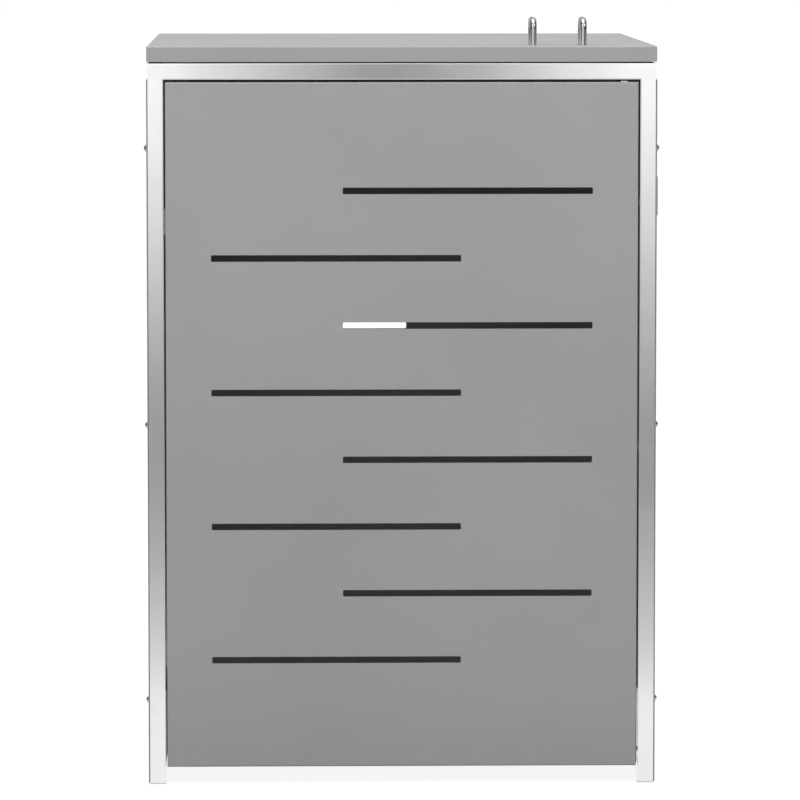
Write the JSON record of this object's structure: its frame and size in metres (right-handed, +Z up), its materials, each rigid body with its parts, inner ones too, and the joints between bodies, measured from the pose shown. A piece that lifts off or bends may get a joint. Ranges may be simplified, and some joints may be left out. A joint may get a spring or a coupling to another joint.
{
  "type": "wheeled bin store",
  "caption": "Lockable cabinet that hides one wheeled bin: steel tube frame, sheet panels, lift-up lid with bow pulls, slotted door on pivots.",
  "frame": {"origin": "on the floor, under the middle of the store's outer box", "axes": "+Z up, +X to the right as seen from the door side, +Y towards the lid hinges at the back"},
  "size_m": [0.7826, 0.85, 1.171],
  "materials": {
    "frame_tube": "polished stainless steel tube",
    "painted_sheet": "satin mid-grey powder coat with a fine texture",
    "painted_stiffener": "satin mid-grey powder coat",
    "foot_plastic": "natural moulded polyethylene",
    "stainless_hardware": "turned and cold-formed stainless steel",
    "zinc_inserts": "zinc-plated steel",
    "bracket_steel": "brushed stainless steel plate and bar",
    "pull_chrome": "bright chrome plate",
    "bush_plastic": "moulded acetal",
    "knob_plastic": "moulded phenolic",
    "buffer_rubber": "soft moulded rubber"
  },
  "bodies": {
    "frame": {"leg_front_left": "frame_tube", "leg_front_right": "frame_tube", "leg_rear_left": "frame_tube", "leg_rear_right": "frame_tube", "top_rail_front": "frame_tube", "top_rail_rear": "frame_tube", "top_rail_left": "frame_tube", "top_rail_right": "frame_tube", "bottom_rail_left": "frame_tube", "bottom_rail_right": "frame_tube", "bottom_rail_rear": "frame_tube", "foot_plugs": "foot_plastic", "side_panel_left": "painted_sheet", "side_panel_right": "painted_sheet", "rear_panel": "painted_sheet", "panel_bolts": "stainless_hardware", "rivet_nuts": "zinc_inserts", "side_plate": "painted_sheet", "lid_bumpers": "buffer_rubber", "hinge_frame_leaves": "bracket_steel", "hinge_pins": "stainless_hardware", "hinge_frame_screws": "stainless_hardware", "top_pivot_bush": "bush_plastic", "bottom_pivot_bracket": "bracket_steel", "bottom_pivot_pin": "stainless_hardware", "thrust_washer": "stainless_hardware", "bracket_bolts": "stainless_hardware", "door_stops": "bracket_steel", "door_stop_buffers": "buffer_rubber", "door_stop_screws": "stainless_hardware"},
    "lid": {"lid_panel": "painted_sheet", "lid_channel_front": "painted_stiffener", "lid_channel_middle": "painted_stiffener", "lid_screws": "painted_sheet", "pull_left": "pull_chrome", "pull_right": "pull_chrome", "pull_washers": "stainless_hardware", "pull_screws": "stainless_hardware", "hinge_lid_leaves": "bracket_steel", "hinge_lid_screws": "stainless_hardware", "hinge_lid_nuts": "stainless_hardware"},
    "door": {"door_panel": "painted_sheet", "hinge_stile": "painted_stiffener", "latch_stile": "painted_stiffener", "door_cross_bar": "painted_stiffener", "top_pivot_block": "bush_plastic", "top_pivot_pin": "stainless_hardware", "top_pivot_washer": "stainless_hardware", "bottom_pivot_block": "bush_plastic", "bottom_pivot_bush": "bush_plastic", "latch_housing": "bracket_steel", "latch_screws": "stainless_hardware"},
    "bolt": {"latch_bolt": "bracket_steel", "latch_knob": "knob_plastic"}
  },
  "joints": [
    {"name": "lid_hinge", "type": "hinge", "parent": "frame", "child": "lid", "pos_m": [0, 0.421, 1.103], "axis": [-1, 0, 0], "range_deg": [0, 97]},
    {"name": "door_hinge", "type": "hinge", "parent": "frame", "child": "door", "pos_m": [0.3379, -0.4145, 0.5], "axis": [0, 0, 1], "range_deg": [0, 110]},
    {"name": "latch_slide", "type": "slide", "parent": "door", "child": "bolt", "axis": [0, 0, 1], "range_m": [0, 0.02]}
  ]
}
